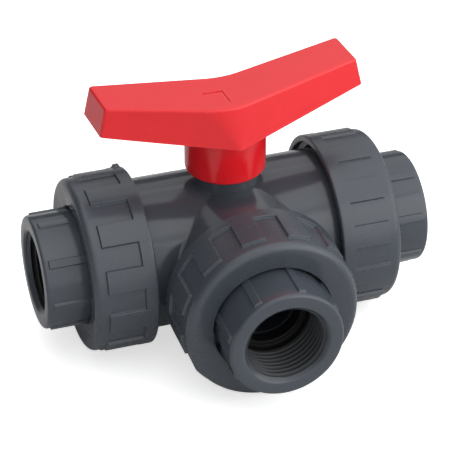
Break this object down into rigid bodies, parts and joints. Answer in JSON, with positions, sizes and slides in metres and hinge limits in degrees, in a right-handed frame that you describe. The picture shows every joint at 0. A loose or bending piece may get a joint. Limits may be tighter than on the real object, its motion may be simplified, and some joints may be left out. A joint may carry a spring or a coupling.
{
  "type": "three way valve",
  "caption": "Plastic three way ball valve with an L-shaped ball passage, union nuts, female threaded ends and a chevron handle.",
  "frame": {"origin": "centre of the branch port's mouth", "axes": "+X along the run towards the right port, -Y out of the branch port, +Z along the stem towards the handle"},
  "size_m": [0.1592, 0.1127, 0.1122],
  "materials": {
    "pvc_body": "satin moulded dark grey plastic",
    "pvc_nut": "satin moulded dark grey plastic",
    "pvc_inner": "smooth machined dark grey plastic",
    "handle_red": "satin moulded red plastic",
    "seat_polymer": "waxy white low-friction polymer",
    "elastomer": "black moulded elastomer"
  },
  "bodies": {
    "body": {"valve_body": "pvc_body", "stem_washer": "seat_polymer", "ball_seat_left": "seat_polymer", "seat_cushion_left": "elastomer", "ball_seat_right": "seat_polymer", "seat_cushion_right": "elastomer", "ball_seat_branch": "seat_polymer", "seat_cushion_branch": "elastomer", "ball_seat_back": "seat_polymer", "seat_cushion_back": "elastomer", "seal_carrier_left": "pvc_inner", "carrier_o_ring_left": "elastomer", "union_o_ring_left": "elastomer", "end_connector_left": "pvc_body", "seal_carrier_right": "pvc_inner", "carrier_o_ring_right": "elastomer", "union_o_ring_right": "elastomer", "end_connector_right": "pvc_body", "seal_carrier_branch": "pvc_inner", "carrier_o_ring_branch": "elastomer", "union_o_ring_branch": "elastomer", "end_connector_branch": "pvc_body"},
    "rotor": {"handle": "handle_red", "stem": "pvc_inner", "ball": "pvc_inner", "stem_o_ring_lower": "elastomer", "stem_o_ring_upper": "elastomer"},
    "left_nut": {"union_nut_left": "pvc_nut"},
    "right_nut": {"union_nut_right": "pvc_nut"},
    "branch_nut": {"union_nut_branch": "pvc_nut"}
  },
  "joints": [
    {"name": "handle_turn", "type": "hinge", "parent": "body", "child": "rotor", "pos_m": [0, 0.0768, 0], "axis": [0, 0, 1], "continuous": true},
    {"name": "left_nut_turn", "type": "hinge", "parent": "body", "child": "left_nut", "pos_m": [-0.05, 0.0768, 0], "axis": [-1, 0, 0], "continuous": true},
    {"name": "right_nut_turn", "type": "hinge", "parent": "body", "child": "right_nut", "pos_m": [0.05, 0.0768, 0], "axis": [1, 0, 0], "continuous": true},
    {"name": "branch_nut_turn", "type": "hinge", "parent": "body", "child": "branch_nut", "pos_m": [0, 0.0265, 0], "axis": [0, -1, 0], "continuous": true}
  ]
}
